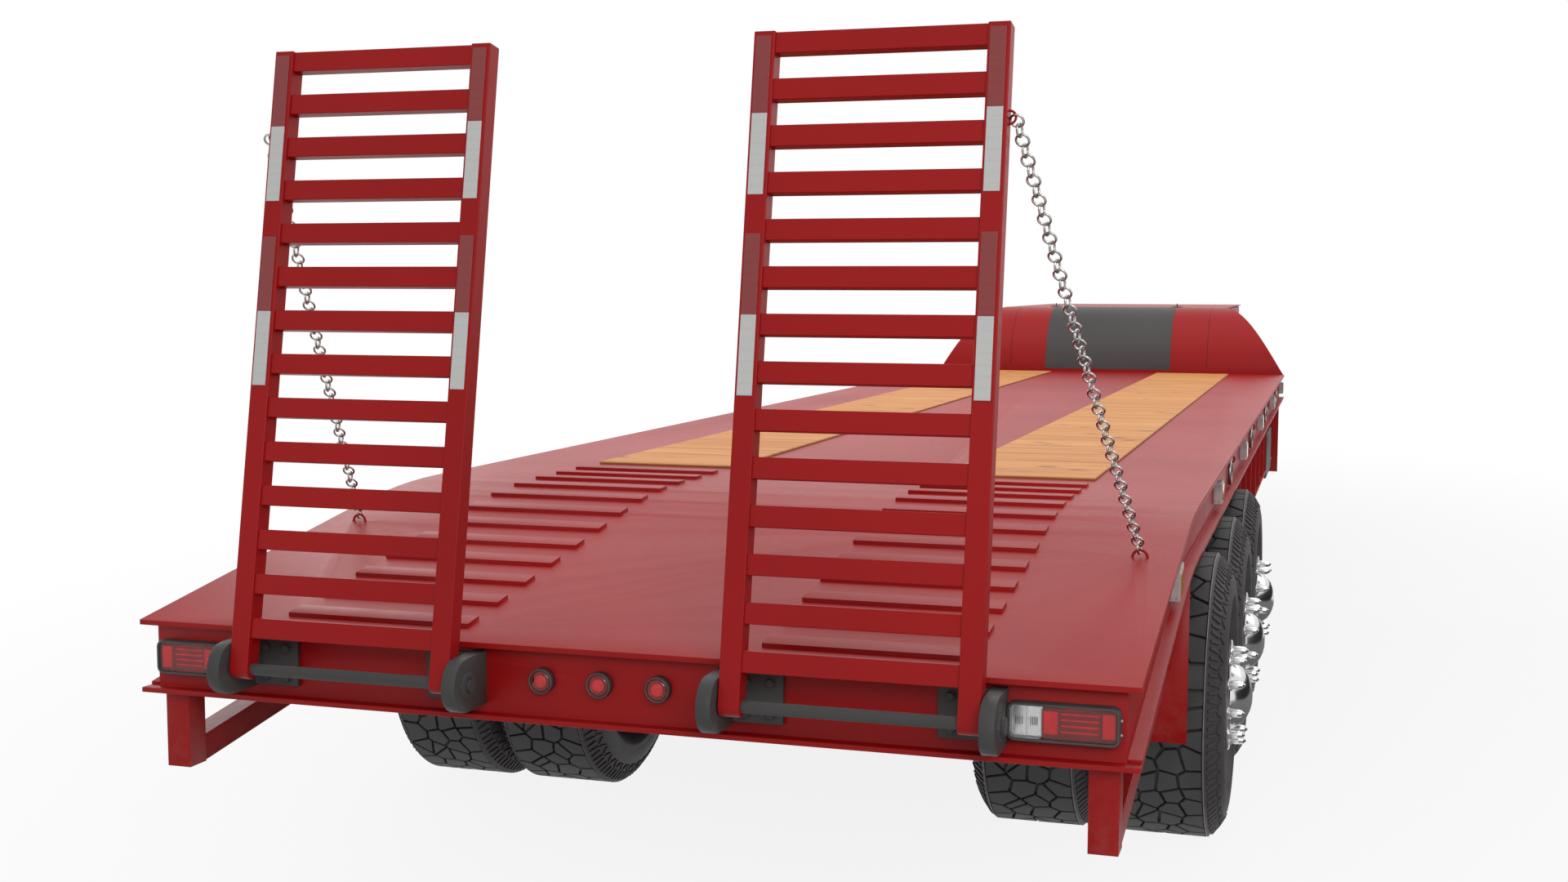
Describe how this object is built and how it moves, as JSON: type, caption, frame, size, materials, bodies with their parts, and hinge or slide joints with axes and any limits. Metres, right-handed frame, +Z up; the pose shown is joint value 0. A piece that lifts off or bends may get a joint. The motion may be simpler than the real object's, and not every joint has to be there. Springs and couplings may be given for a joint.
{
  "type": "equipment semi-trailer",
  "caption": "Red low-bed semi-trailer with flat deck, timber strips, sloped tail, chained fold-down ladder ramps, dual-tyre axles, curved bulkhead, neck and landing legs.",
  "frame": {"origin": "on the ground under the middle of the trailer's box", "axes": "+Y forward towards the neck, +X to the trailer's right, +Z up"},
  "size_m": [2.862, 12.34, 2.2983],
  "materials": {
    "red_paint": "satin",
    "grey_paint": "satin",
    "steel": "satin",
    "chrome": "polished",
    "rubber": "matte",
    "timber": "matte",
    "lamp": "gloss"
  },
  "bodies": {
    "chassis": {"deck_plate": "red_paint", "bed_frame": "red_paint", "side_rail_left": "red_paint", "side_rail_right": "red_paint", "rear_beam": "red_paint", "neck_frame": "red_paint", "neck_cover": "red_paint", "coupler_plate": "steel", "timber_left": "timber", "timber_right": "timber", "stand_left": "red_paint", "stand_right": "red_paint", "hinge_bracket_left_inner": "grey_paint", "hinge_bracket_left_outer": "grey_paint", "hinge_bracket_right_inner": "grey_paint", "hinge_bracket_right_outer": "grey_paint", "hinge_rod_left": "grey_paint", "hinge_rod_right": "grey_paint", "tail_lamp_left": "lamp", "tail_lamp_right": "lamp", "axle_rear": "grey_paint", "axle_middle": "grey_paint", "axle_front": "grey_paint", "leg_housing_left": "grey_paint", "leg_housing_right": "grey_paint", "toolbox": "grey_paint"},
    "ramp_left": {"ramp_left": "red_paint"},
    "chain_left": {"chain_left": "steel"},
    "ramp_right": {"ramp_right": "red_paint"},
    "chain_right": {"chain_right": "steel"},
    "wheel_rear_left": {"hub_rear_left": "chrome", "tyre_rear_left_outer": "rubber", "tyre_rear_left_inner": "rubber"},
    "wheel_rear_right": {"hub_rear_right": "chrome", "tyre_rear_right_outer": "rubber", "tyre_rear_right_inner": "rubber"},
    "wheel_middle_left": {"hub_middle_left": "chrome", "tyre_middle_left_outer": "rubber", "tyre_middle_left_inner": "rubber"},
    "wheel_middle_right": {"hub_middle_right": "chrome", "tyre_middle_right_outer": "rubber", "tyre_middle_right_inner": "rubber"},
    "wheel_front_left": {"hub_front_left": "chrome", "tyre_front_left_outer": "rubber", "tyre_front_left_inner": "rubber"},
    "wheel_front_right": {"hub_front_right": "chrome", "tyre_front_right_outer": "rubber", "tyre_front_right_inner": "rubber"},
    "leg_left": {"landing_leg_left": "grey_paint"},
    "leg_right": {"landing_leg_right": "grey_paint"},
    "crank": {"leg_crank": "steel"},
    "toolbox_door": {"toolbox_door": "grey_paint"},
    "lashing_ring_left_1": {"lashing_ring_left_1": "grey_paint"},
    "lashing_ring_left_2": {"lashing_ring_left_2": "grey_paint"},
    "lashing_ring_left_3": {"lashing_ring_left_3": "grey_paint"},
    "lashing_ring_left_4": {"lashing_ring_left_4": "grey_paint"},
    "lashing_ring_right_1": {"lashing_ring_right_1": "grey_paint"},
    "lashing_ring_right_2": {"lashing_ring_right_2": "grey_paint"},
    "lashing_ring_right_3": {"lashing_ring_right_3": "grey_paint"},
    "lashing_ring_right_4": {"lashing_ring_right_4": "grey_paint"}
  },
  "joints": [
    {"name": "ramp_left_hinge", "type": "hinge", "parent": "chassis", "child": "ramp_left", "pos_m": [-0.6405, -6.105, 0.758], "axis": [1, 0, 0], "range_deg": [0, 127.8]},
    {"name": "chain_left_swing", "type": "hinge", "parent": "ramp_left", "child": "chain_left", "pos_m": [-0.96143, -5.86076, 2.06333], "axis": [1, 0, 0], "range_deg": [-77, 0]},
    {"name": "ramp_right_hinge", "type": "hinge", "parent": "chassis", "child": "ramp_right", "pos_m": [0.6405, -6.105, 0.758], "axis": [1, 0, 0], "range_deg": [0, 127.8]},
    {"name": "chain_right_swing", "type": "hinge", "parent": "ramp_right", "child": "chain_right", "pos_m": [0.96143, -5.86076, 2.06333], "axis": [1, 0, 0], "range_deg": [-77, 0]},
    {"name": "wheel_rear_left_spin", "type": "hinge", "parent": "chassis", "child": "wheel_rear_left", "pos_m": [-0.9895, -4.24, 0.44], "axis": [1, 0, 0], "continuous": true},
    {"name": "wheel_rear_right_spin", "type": "hinge", "parent": "chassis", "child": "wheel_rear_right", "pos_m": [0.9895, -4.24, 0.44], "axis": [1, 0, 0], "continuous": true},
    {"name": "wheel_middle_left_spin", "type": "hinge", "parent": "chassis", "child": "wheel_middle_left", "pos_m": [-0.9895, -3.34, 0.44], "axis": [1, 0, 0], "continuous": true},
    {"name": "wheel_middle_right_spin", "type": "hinge", "parent": "chassis", "child": "wheel_middle_right", "pos_m": [0.9895, -3.34, 0.44], "axis": [1, 0, 0], "continuous": true},
    {"name": "wheel_front_left_spin", "type": "hinge", "parent": "chassis", "child": "wheel_front_left", "pos_m": [-0.9895, -2.44, 0.44], "axis": [1, 0, 0], "continuous": true},
    {"name": "wheel_front_right_spin", "type": "hinge", "parent": "chassis", "child": "wheel_front_right", "pos_m": [0.9895, -2.44, 0.44], "axis": [1, 0, 0], "continuous": true},
    {"name": "leg_left_slide", "type": "slide", "parent": "chassis", "child": "leg_left", "axis": [0, 0, 1], "range_m": [0, 0.4]},
    {"name": "leg_right_slide", "type": "slide", "parent": "chassis", "child": "leg_right", "axis": [0, 0, 1], "range_m": [0, 0.4]},
    {"name": "crank_turn", "type": "hinge", "parent": "chassis", "child": "crank", "pos_m": [0.98, 2.92, 0.7], "axis": [1, 0, 0], "continuous": true},
    {"name": "toolbox_door_hinge", "type": "hinge", "parent": "chassis", "child": "toolbox_door", "pos_m": [1.231, 1.817, 0.775], "axis": [0, -1, 0], "range_deg": [0, 100]},
    {"name": "lashing_ring_left_1_swing", "type": "hinge", "parent": "chassis", "child": "lashing_ring_left_1", "pos_m": [-1.253, -2.545, 1.013], "axis": [0, 1, 0], "range_deg": [0, 110]},
    {"name": "lashing_ring_left_2_swing", "type": "hinge", "parent": "chassis", "child": "lashing_ring_left_2", "pos_m": [-1.253, -0.855, 1.013], "axis": [0, 1, 0], "range_deg": [0, 110]},
    {"name": "lashing_ring_left_3_swing", "type": "hinge", "parent": "chassis", "child": "lashing_ring_left_3", "pos_m": [-1.253, 0.835, 1.013], "axis": [0, 1, 0], "range_deg": [0, 110]},
    {"name": "lashing_ring_left_4_swing", "type": "hinge", "parent": "chassis", "child": "lashing_ring_left_4", "pos_m": [-1.253, 2.525, 1.013], "axis": [0, 1, 0], "range_deg": [0, 110]},
    {"name": "lashing_ring_right_1_swing", "type": "hinge", "parent": "chassis", "child": "lashing_ring_right_1", "pos_m": [1.253, -2.545, 1.013], "axis": [0, -1, 0], "range_deg": [0, 110]},
    {"name": "lashing_ring_right_2_swing", "type": "hinge", "parent": "chassis", "child": "lashing_ring_right_2", "pos_m": [1.253, -0.855, 1.013], "axis": [0, -1, 0], "range_deg": [0, 110]},
    {"name": "lashing_ring_right_3_swing", "type": "hinge", "parent": "chassis", "child": "lashing_ring_right_3", "pos_m": [1.253, 0.835, 1.013], "axis": [0, -1, 0], "range_deg": [0, 110]},
    {"name": "lashing_ring_right_4_swing", "type": "hinge", "parent": "chassis", "child": "lashing_ring_right_4", "pos_m": [1.253, 2.525, 1.013], "axis": [0, -1, 0], "range_deg": [0, 110]}
  ],
  "couplings": [
    {"joint": "chain_left_swing", "follows": "ramp_left_hinge", "ratio": -0.6},
    {"joint": "chain_right_swing", "follows": "ramp_right_hinge", "ratio": -0.6},
    {"joint": "leg_left_slide", "follows": "leg_right_slide", "ratio": 1}
  ]
}
